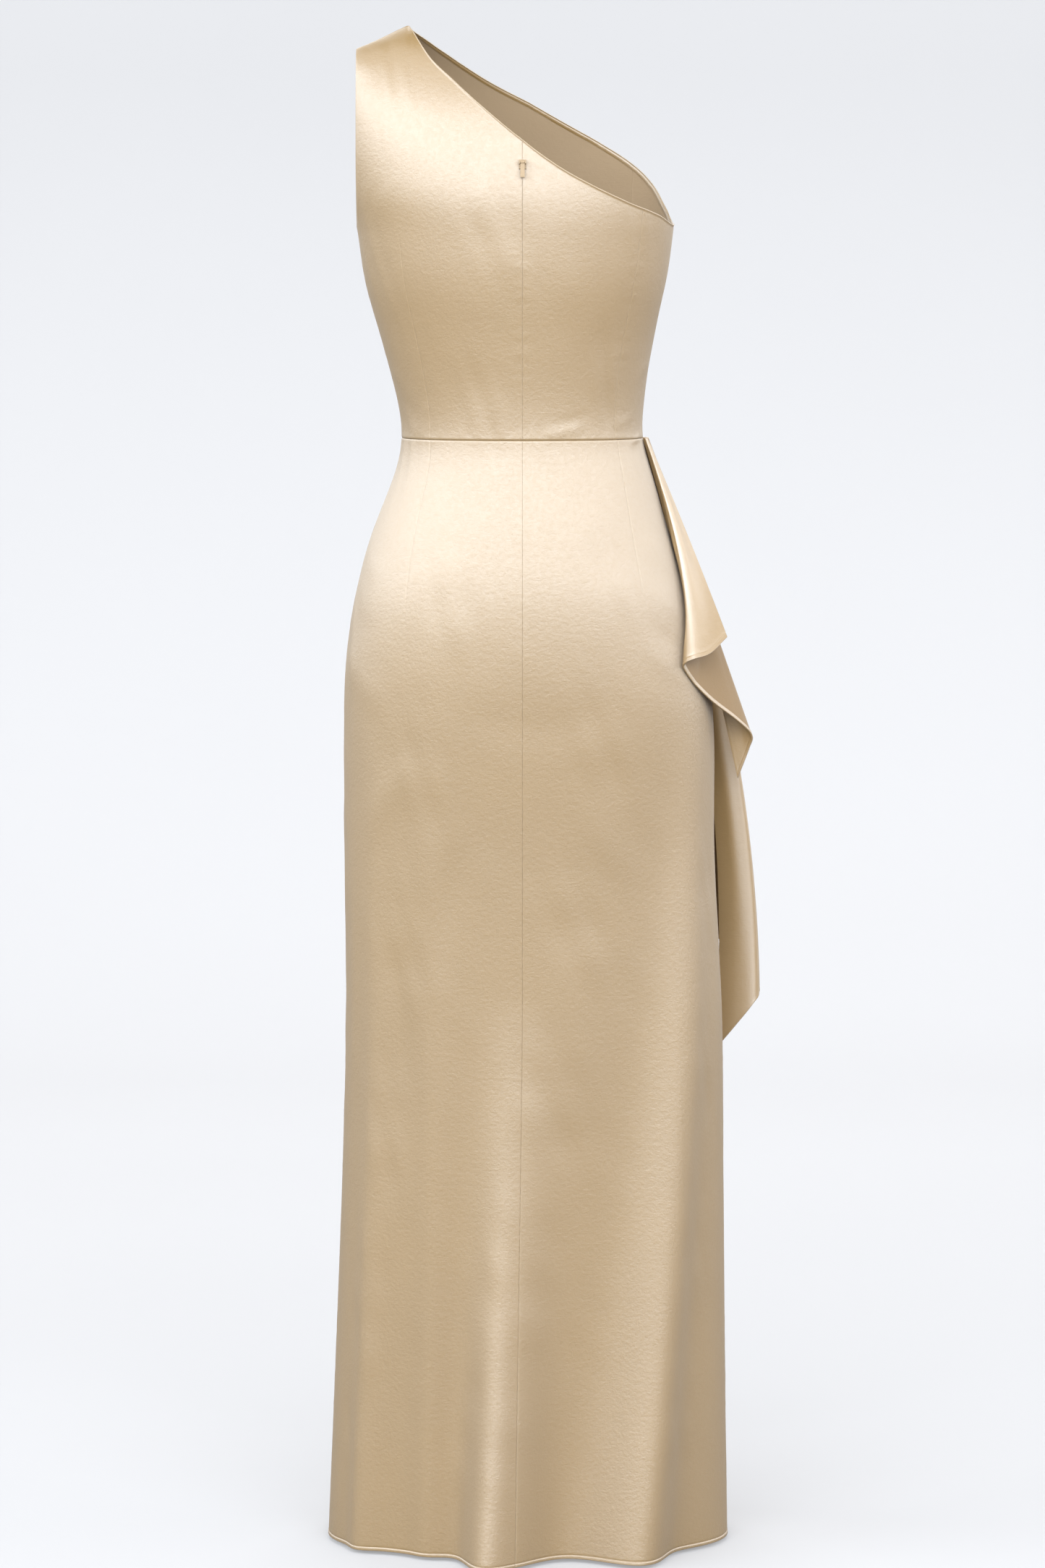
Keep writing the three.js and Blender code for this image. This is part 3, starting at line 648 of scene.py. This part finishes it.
def body_relief(turns, path, base, darts, bottom, top):
    """How far the cloth stands off its plain form, in millimetres: creases, a slow
    unevenness, the valleys and small puckers of its seams and darts, and its edges."""
    relief = crease_field(turns, path, BODY_CREASES, MM_PER_DEGREE)
    around = turns * MM_PER_DEGREE
    slow = ripple(path + 3.1 * turns, 83.0, 0.7) * ripple(around - 0.13 * path, 61.0, 2.2)
    relief += 0.55 * slow * ramp(path, 10, 120)
    across = running(base, 1)
    up = running(base, 0)
    pucker = ripple(path, 15.0, 2.3) * ripple(path, 140.0, 1.6)
    for distance in (across, across[:, -1:] - across):
        relief += groove(distance, SEAM_WIDTH, 0.2)
        relief += 0.25 * pucker * np.exp(-((distance / 9.0) ** 2)) * ramp(distance, 0, 2.5)
    for turn_low, turn_high, low, high in darts:
        share = np.clip((path - low) / (high - low), 0, 1)
        line = mix(turn_low, turn_high, share)
        distance = np.abs(turns - line) * np.gradient(across, axis=1) / np.gradient(turns, axis=1)
        apex_share = share if low >= WAIST else 1 - share
        alive = ((path >= low - 1) & (path <= high)) * (1 - apex_share ** 4)
        relief += groove(distance, 0.7, 0.45) * alive
        relief += 0.15 * ripple(path, 17.0, 3.0) * np.exp(-((distance / 7) ** 2)) * alive
        tip = high if low >= WAIST else low
        relief += 0.2 * np.exp(-((distance / 18) ** 2) - ((path - tip) / 30) ** 2)
    if bottom == "hem":
        relief += 0.45 * (1 - ramp(up, HEM_DEPTH - 0.6, HEM_DEPTH + 0.2))
        relief += groove(up - HEM_DEPTH - 0.4, 0.55, 0.35)
    else:
        relief += groove(up, SEAM_WIDTH, 0.45)
        relief += 0.2 * ripple(around, 19.0, 5.1) * np.exp(-(((up - 7) / 7) ** 2))
    down = up[-1:] - up
    if top == "seam":
        relief += groove(down, SEAM_WIDTH, 0.45)
        relief += 0.2 * ripple(around, 16.0, 4.2) * np.exp(-(((down - 8) / 8) ** 2))
    else:
        relief += 0.8 * np.exp(-(((down - 0.9) / 0.9) ** 2))
    return relief


def edge_turn(turn, path, side):
    """Turn at a panel's edge, drawn back by half the seam's line."""
    probe = 0.5
    step = body_point(turn + side * probe, path) - body_point(turn, path)
    speed = np.linalg.norm(step, axis=-1) / probe
    return turn + side * SEAM_LINE / 2 / speed


def panel(name, turns, rows, bottom, top, darts, edges):
    """One sewn panel: a grid of lines between two turns, drawn back at its edges, moved
    out by its relief and given the cloth's thickness inwards. rows are shares of each
    line's length, and edges names the kinds of its bottom and top."""
    shares = rows[:, None]
    line_top = top(turns)[None, :]
    path = mix(bottom, line_top, shares)
    places = np.repeat(turns[None, :], len(rows), 0)
    for dart in darts:
        places = follow(places, path, dart)
    places[:, 0] = edge_turn(places[:, 0], path[:, 0], 1)
    places[:, -1] = edge_turn(places[:, -1], path[:, -1], -1)
    base = body_point(places, path)
    normal = body_normal(places, path)
    relief = body_relief(places, path, base, darts, *edges)
    outer = base + normal * relief[..., None]
    up = running(base, 0)
    from_edge = up[-1:] - up if edges[1] == "edge" else np.full(up.shape, np.inf)
    facing = 1 - ramp(from_edge, FACING - 0.5, FACING + 0.3)
    inner = outer - normal * (CLOTH + 0.35 * facing)[..., None]
    looks = np.where((facing[:-1, :-1] + facing[1:, 1:]) / 2 > 0.5, 0, 1)
    piece = slab(name, outer, inner, [SATIN_OUTSIDE, SATIN_INSIDE], looks)
    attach(piece, "gown")
    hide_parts(name)
    return piece, cloth_size(outer)


def rows_between(count, low_edge, high_edge, length):
    """Shares of a line's length, with extra rows in the first and last millimetres."""
    low = np.array(low_edge) / length
    high = 1 - np.array(high_edge)[::-1] / length
    middle = np.linspace(low[-1], high[0], count)
    return np.concatenate([low, middle[1:-1], high])


HEM_ROWS = [0, 0.6, 1.2, 2.0, 2.6, 3.1, 3.6, 4.1, 4.8, 6.0, 8.0]
SEAM_ROWS = [0, 0.4, 0.8, 1.3, 2.0, 3.0, 4.5, 6.5]
EDGE_ROWS = [0, 0.4, 0.9, 1.5, 2.2, 3.2, 4.4, 5.1, 5.7, 6.3, 7.5]
BODICE_LENGTH = 300.0


def waist_path(turn):
    """Path length at which each line of the skirt reaches the waist seam."""
    return np.full(np.shape(turn), WAIST - SEAM_GAP / 2)


def skirt_panel(name, low, high, count, darts=()):
    """A skirt panel from the hem to the waist seam."""
    lines = [(dart[0] + dart[1]) / 2 for dart in darts]
    turns = spread(low, high, count, lines)
    rows = rows_between(150, HEM_ROWS, SEAM_ROWS, WAIST)
    return panel(name, turns, rows, 0.0, waist_path, darts, ("hem", "seam"))


def bodice_panel(name, low, high, count, darts=()):
    """A bodice panel from the waist seam to the neckline and the shoulder seam."""
    lines = [(dart[0] + dart[1]) / 2 for dart in darts]
    turns = spread(low, high, count, lines)
    rows = rows_between(90, SEAM_ROWS, EDGE_ROWS, BODICE_LENGTH)
    return panel(name, turns, rows, WAIST + SEAM_GAP / 2, top_path, darts, ("seam", "edge"))


def keep_clear(points, clear):
    """Moves points straight out from the body's axis until they clear the skirt."""
    x, y, z = points[..., 0], points[..., 1], points[..., 2]
    power = section["square"](z)
    width = np.where(x > 0, section["left"](z), section["right"](z))
    depth = np.where(y > 0, section["back"](z), section["front"](z))
    share = ((np.abs(x) / width) ** power + (np.abs(y) / depth) ** power) ** (1 / power)
    radius = np.hypot(x, y)
    needed = np.maximum((radius / share + clear) / radius, 1)
    return np.stack([x * needed, y * needed, z], -1)


def strip_surface(table):
    """Point on a strip of the cascade at a line and a share of its drop: the plan is a
    smooth curve through the rows of the table, and each line bends once."""
    numbered = [[k, *row] for k, row in enumerate(table)]
    columns = ["line", *STRIP_COLUMNS]
    read = {name: curve(numbered, columns, "line", name) for name in STRIP_COLUMNS}

    def bend(name, line, v):
        waist, middle, hem = (read[part + name](line) for part in ("waist", "mid", "hem"))
        return waist * (2 * v - 1) * (v - 1) + middle * 4 * v * (1 - v) + hem * v * (2 * v - 1)

    def at(line, v):
        z = mix(WAIST - SEAM_GAP, read["hemZ"](line), v)
        plain = np.stack([bend("X", line, v), bend("Y", line, v), z], -1)
        return keep_clear(plain, mix(WAIST_CLEAR, read["clear"](line), v))

    return at


def cascade_piece(name, table, per_line, count, side, creases, edge_hems):
    """A strip of the cascade: rows gather towards its turned hem, whose band stands
    out on the inside, and soft creases run down from the waist. side is 1 where the
    satin side is the one that the lines and the drop turn towards."""
    at = strip_surface(table)
    last = len(table) - 1
    lines = np.linspace(0, last, last * per_line + 1)
    near = np.array([0, 0.012, 0.03, 0.055, 0.08, 0.11])
    middle = lines[(lines > 0.13) & (lines < last - 0.13)]
    lines = np.unique(np.concatenate([near, last - near, middle]))
    from_hem_up = rows_between(count, CASCADE_HEM_ROWS, EDGE_ROWS, CASCADE_LENGTH)
    line, v = np.meshgrid(lines, 1 - from_hem_up)
    step = 0.012
    base = at(line, v)
    ahead = at(np.minimum(line + step, last), v) - at(np.maximum(line - step, 0), v)
    down = at(line, np.minimum(v + step, 1)) - at(line, np.maximum(v - step, 0))
    normal = unit(np.cross(ahead, down)) * side
    from_hem = running(base, 0)
    across = running(base, 1)
    relief = crease_field(line, v * 10, creases, 1.0) * ramp(v, 0.05, 0.3)
    band = 1 - ramp(from_hem, HEM_BAND - 0.4, HEM_BAND + 0.2)
    for is_hem, distance in zip(edge_hems, (across, across[:, -1:] - across)):
        if is_hem:
            band = np.maximum(band, 1 - ramp(distance, HEM_BAND - 0.4, HEM_BAND + 0.2))
    stitch = np.exp(-(((from_hem - HEM_BAND) / 0.6) ** 2))
    outer = base + normal * (relief + CLOTH / 2 + 0.15 * band - 0.3 * stitch)[..., None]
    inner = base + normal * (relief - CLOTH / 2 - 0.45 * band + 0.1 * stitch)[..., None]
    looks = np.where((band[:-1, :-1] + band[1:, 1:]) / 2 > 0.5, 0, 1)
    # Its inside takes a tone painted darker than the gown's inside: painted shade.
    # The cascade's outside takes a tone painted lighter than the gown's satin: painted light.
    piece = slab(name, outer, inner, [DRAPE_OUTSIDE_PAINTED_LIGHT, DRAPE_INSIDE_PAINTED_SHADE], looks)
    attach(piece, "gown")
    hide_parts(name)
    return piece, cloth_size(outer)


HEM_BAND = 4.5
CASCADE_HEM_ROWS = [0, 0.5, 1.2, 2.2, 3.2, 3.9, 4.3, 4.7, 5.2, 6.2, 8.0]
CASCADE_LENGTH = 300.0

# Creases of the strips: line and tenth of the drop at both ends, height, half width in
# lines, and bow
FLOUNCE_CREASES = [
    [1.1, 0.8, 1.2, 9.9, 1.9, 0.6, 0.05],
    [2.6, 2.0, 2.7, 9.8, -1.0, 0.5, 0.05],
    [5.2, 3.0, 5.6, 9.8, 0.7, 0.5, 0.1],
    [6.4, 3.0, 6.7, 9.8, -0.7, 0.4, 0.1],
]
TAIL_CREASES = [
    [1.0, 3.0, 1.2, 9.8, 1.0, 0.45, 0.1],
    [2.0, 3.0, 2.1, 9.8, -0.8, 0.45, -0.1],
    [4.6, 2.0, 4.9, 9.5, 1.4, 0.3, 0.1],
    [5.4, 3.0, 5.6, 9.5, -1.2, 0.25, 0.1],
]

ZIP_TAPE_HALF = 12.0
ZIP_TAPE_INSET = 2.8
TOOTH_PITCH = 1.4


def back_point(x, path):
    """Place on the back of the gown at a sideways distance from its centre line."""
    power = section["square"](path)
    width = np.where(x > 0, section["left"](path), section["right"](path))
    y = section["back"](path) * (1 - (np.abs(x) / width) ** power) ** (1 / power)
    return np.stack([x + 0 * y, y, section["height"](path) + 0 * x], -1)


def back_normal(x, path):
    """Outward direction of the back, from its slopes sideways and up."""
    across = back_point(x - 1, path) - back_point(x + 1, path)
    up = back_point(x, path + 1) - back_point(x, path - 1)
    return unit(np.cross(across, up))


def zip_tape():
    """The zip's tape: a strip inside the centre back seam with a fine raised edge."""
    x = np.linspace(-ZIP_TAPE_HALF, ZIP_TAPE_HALF, 25)[None, :]
    top = float(top_path(np.array(CENTRE_BACK + 5.0))) - 22
    path = np.linspace(ZIP_END, top, 170)[:, None]
    x, path = np.broadcast_arrays(x, path)
    normal = back_normal(x, path)
    ribs = 0.12 * np.cos(2 * np.pi * x / 4.0)
    outer = back_point(x, path) - normal * (ZIP_TAPE_INSET - ribs)[..., None]
    inner = outer - normal * 0.7
    piece = slab("back_zip_tape", outer, inner, [TAPE_WEAVE, TAPE_WEAVE])
    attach(piece, "gown")
    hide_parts("back_zip")
    return piece, cloth_size(outer)


def box_corners(size):
    """The eight corners of a box round the origin, and its six quads."""
    corners = np.array([[i, j, k] for i in (-1, 1) for j in (-1, 1) for k in (-1, 1)]) * size
    quads = np.array([
        [0, 1, 3, 2], [4, 6, 7, 5], [0, 4, 5, 1], [2, 3, 7, 6], [0, 2, 6, 4], [1, 5, 7, 3]])
    return corners / 2, quads


def zip_coil():
    """The closed coil: two rows of small teeth that interlock on the inside of the
    tape, each tooth a copy of one box set along the back's curve."""
    top = float(top_path(np.array(CENTRE_BACK + 5.0))) - 30
    count = int((top - ZIP_END - 8) / TOOTH_PITCH)
    path = ZIP_END + 4 + TOOTH_PITCH * np.arange(count)
    corners, quads = box_corners(np.array([3.4, 1.3, 0.8]))
    side = np.where(np.arange(count) % 2 == 0, 0.7, -0.7)
    normal = back_normal(side, path)
    middle = back_point(side, path) - normal * (ZIP_TAPE_INSET + 1.45)
    points = (middle[:, None, :] + corners[None, :, :]).reshape(-1, 3)
    faces = (quads[None, :, :] + 8 * np.arange(count)[:, None, None]).reshape(-1, 4)
    piece = make_mesh("zip_coil", points, faces, [TAPE_WEAVE], np.zeros(len(faces), int))
    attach(piece, "gown")


# Cut of every piece that shows, seam allowances left out: the width and length of the
# rectangle it is cut from and its own area, in metres, how it hangs and what it is
# sewn to. The widths of the two cascade layers are estimates: laid flat, these layers
# are narrower than stated, and along their slanted hems they measure more.
CUTS = {
    "bodice_back_left": (0.253, 0.451, 0.0699, "hung", ["bodice_front"]),
    "bodice_back_right": (0.141, 0.295, 0.0283, "hung", ["bodice_back_left"]),
    "bodice_side_right": (0.202, 0.275, 0.0382, "hung", ["bodice_front"]),
    "bodice_front": (0.351, 0.456, 0.1078, "hung", ["bodice_back_left"]),
    "skirt_back_left": (0.302, 1.113, 0.2677, "hung", ["bodice_back_left"]),
    "skirt_back_right": (0.333, 1.115, 0.2923, "hung", ["bodice_back_right"]),
    "skirt_front": (0.637, 1.115, 0.5548, "hung", ["bodice_front"]),
    "cascade_flounce": (0.160, 0.353, 0.0231, "draped", ["skirt_back_right"]),
    "cascade_tail": (0.200, 0.628, 0.0582, "draped", ["skirt_front"]),
    "back_zip": (0.024, 0.410, 0.0098, "hung", ["bodice_back_left"]),
}


def build_gown():
    """All sewn panels, the cascade and the zip; prints what each piece of cloth
    measures, beside its cut."""
    made = [  # in the order of the table of cuts
        bodice_panel("bodice_back_left", SIDE_LEFT, CENTRE_BACK, 100, [BODICE_DART_LEFT]),
        bodice_panel("bodice_back_right", CENTRE_BACK, BACK_RIGHT_SEAM, 60),
        bodice_panel("bodice_side_right", BACK_RIGHT_SEAM, FRONT_RIGHT_SEAM, 90),
        bodice_panel("bodice_front", FRONT_RIGHT_SEAM, FULL_TURN, 130),
        skirt_panel("skirt_back_left", SIDE_LEFT, CENTRE_BACK, 100, [SKIRT_DART_LEFT]),
        skirt_panel("skirt_back_right", CENTRE_BACK, SIDE_RIGHT, 100, [SKIRT_DART_RIGHT]),
        skirt_panel("skirt_front", SIDE_RIGHT, FULL_TURN, 190),
        cascade_piece("cascade_flounce", FLOUNCE, 14, 70, 1, FLOUNCE_CREASES, (1, 1)),
        cascade_piece("cascade_tail", TAIL, 14, 110, -1, TAIL_CREASES, (0, 1)),
        zip_tape(),
    ]
    for name, (piece, measured) in zip(CUTS, made):
        print("cloth", name, "cut", CUTS[name][:3], "measured", measured)
    zip_coil()
    for name in ("zip_slider", "zip_pull"):
        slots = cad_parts[name].data.materials
        slots.clear()
        slots.append(ENAMEL)


CAMERA_DISTANCE = 5.85
CAMERA_HEIGHT = 1306.0
CAMERA_PITCH = 5.343
LENS = 135.0


def make_camera():
    """A long lens level with the shoulder blades, looking a little down at the back."""
    data = bpy.data.cameras.new("camera")
    data.lens = LENS
    data.sensor_width = 36.0
    data.clip_end = 60.0
    camera = bpy.data.objects.new("camera", data)
    bpy.context.scene.collection.objects.link(camera)
    camera.location = (-ORIGIN[0] * MM, CAMERA_DISTANCE, (CAMERA_HEIGHT - ORIGIN[2]) * MM)
    camera.rotation_euler = (math.radians(90 - CAMERA_PITCH), 0, math.radians(180))
    bpy.context.scene.camera = camera


def area_light(name, place, aim, size, power, color):
    """A soft rectangular light at a place, turned to its aim."""
    data = bpy.data.lights.new(name, "AREA")
    data.shape = "RECTANGLE"
    data.size, data.size_y = size
    data.energy = power
    data.color = color
    light = bpy.data.objects.new(name, data)
    bpy.context.scene.collection.objects.link(light)
    place, aim = np.array(place, float), np.array(aim, float)
    toward = aim - place
    light.location = place
    flat = math.hypot(toward[0], toward[1])
    light.rotation_euler = (
        math.atan2(flat, -toward[2]), 0, math.atan2(-toward[0], toward[1]))


def stage_material():
    """Pale matt paper whose tone wavers very slightly, lifted where the camera sees it
    and clear from behind, so that the gown can be looked at from every side."""
    material = bpy.data.materials.new("pale_paper")
    material.use_nodes = True
    tree = material.node_tree
    shader = tree.nodes["Principled BSDF"]
    place = node(tree, "ShaderNodeTexCoord")
    drift = node(tree, "ShaderNodeTexNoise", Scale=1.2)
    wire(tree, place, "Object", drift, "Vector")
    tones = node(tree, "ShaderNodeValToRGB")
    tones.color_ramp.elements[0].color = (0.25, 0.25, 0.256, 1)
    tones.color_ramp.elements[1].color = (0.262, 0.262, 0.268, 1)
    wire(tree, drift, "Fac", tones, "Fac")
    wire(tree, tones, "Color", shader, "Base Color")
    shader.inputs["Roughness"].default_value = 0.95
    shader.inputs["Specular IOR Level"].default_value = 0.1
    shader.inputs["Emission Color"].default_value = (0.985, 0.985, 1.0, 1)
    seen = node(tree, "ShaderNodeLightPath")
    lift = node(tree, "ShaderNodeMath", {"operation": "MULTIPLY"})
    lift.inputs[1].default_value = 0.36
    wire(tree, seen, "Is Camera Ray", lift, 0)
    wire(tree, lift, "Value", shader, "Emission Strength")
    form = node(tree, "ShaderNodeNewGeometry")
    clear = node(tree, "ShaderNodeBsdfTransparent")
    sides = node(tree, "ShaderNodeMixShader")
    wire(tree, form, "Backfacing", sides, 0)
    wire(tree, shader, "BSDF", sides, 1)
    wire(tree, clear, "BSDF", sides, 2)
    wire(tree, sides, "Shader", tree.nodes["Material Output"], "Surface")
    return material


def make_stage():
    """Floor just below the hem that curves up into a backdrop behind the gown."""
    floor_z = -ORIGIN[2] * MM - 0.004
    radius = 1.6
    near, far = 7.0, -3.2
    turn = np.linspace(0, math.pi / 2, 24)
    y = np.concatenate([[near], far - radius * np.sin(turn), [far - radius]])
    z = np.concatenate([[0], radius * (1 - np.cos(turn)), [6.0]]) + floor_z
    x = np.array([-9.0, 9.0])
    grid = np.stack(np.broadcast_arrays(x[None, :], y[:, None], z[:, None]), -1)
    points = grid.reshape(-1, 3) / MM + ORIGIN
    index = np.arange(len(y) * 2).reshape(len(y), 2)
    quads = np.stack([index[:-1, 0], index[:-1, 1], index[1:, 1], index[1:, 0]], 1)[:, ::-1]
    floor = make_mesh("studio_floor", points, quads, [stage_material()], np.zeros(len(quads), int))


DAYLIGHT = (0.915, 0.958, 1.0)
WHITE = (1.0, 1.0, 1.0)
HIPS = (-0.139, 0.0, -0.45)
SHOULDERS = (-0.05, 0.0, -0.1)
LIGHTS = [  # name, place, aim, width and height, power, colour
    ("back_panel", (-0.139, 6.5, 2.35), HIPS, (11.0, 3.2), 930.0, DAYLIGHT),
    ("low_panel", (-0.139, 6.6, -0.15), HIPS, (11.0, 1.9), 110.0, DAYLIGHT),
    ("left_panel", (6.1, 1.6, 2.35), HIPS, (7.0, 3.2), 470.0, DAYLIGHT),
    ("right_panel", (-6.4, 1.6, 2.35), HIPS, (7.0, 3.2), 260.0, WHITE),
    ("right_front_panel", (-5.6, -3.2, 0.4), HIPS, (3.6, 3.6), 110.0, WHITE),
    ("top_light", (0.4, 4.6, 3.9), SHOULDERS, (5.0, 1.5), 110.0, DAYLIGHT),
    ("overhead_light", (0.1, 1.3, 4.2), SHOULDERS, (3.0, 1.6), 80.0, DAYLIGHT),
    ("front_light", (-0.139, -4.3, 1.9), HIPS, (6.0, 3.0), 300.0, WHITE),
]
SURROUND_TONE = (0.95, 0.96, 1.0, 1)
SURROUND = 0.22
SURROUND_SEEN = 0.68  # what the camera sees on top of it


def make_light():
    """A wide soft panel high on the camera's side with a low one under it, panels at
    both sides, two lights above, one for the front, and an even pale surround."""
    for light in LIGHTS:
        area_light(*light)
    world = bpy.data.worlds.new("surround")
    bpy.context.scene.world = world
    world.use_nodes = True
    background = world.node_tree.nodes["Background"]
    background.inputs["Color"].default_value = SURROUND_TONE
    seen = node(world.node_tree, "ShaderNodeLightPath")
    strength = node(world.node_tree, "ShaderNodeMath", {"operation": "MULTIPLY_ADD"})
    strength.inputs[1].default_value = SURROUND_SEEN
    strength.inputs[2].default_value = SURROUND
    wire(world.node_tree, seen, "Is Camera Ray", strength, 0)
    wire(world.node_tree, strength, "Value", background, "Strength")


build_gown()
make_camera()
make_stage()
make_light()
bpy.context.scene.view_settings.view_transform = "Standard"
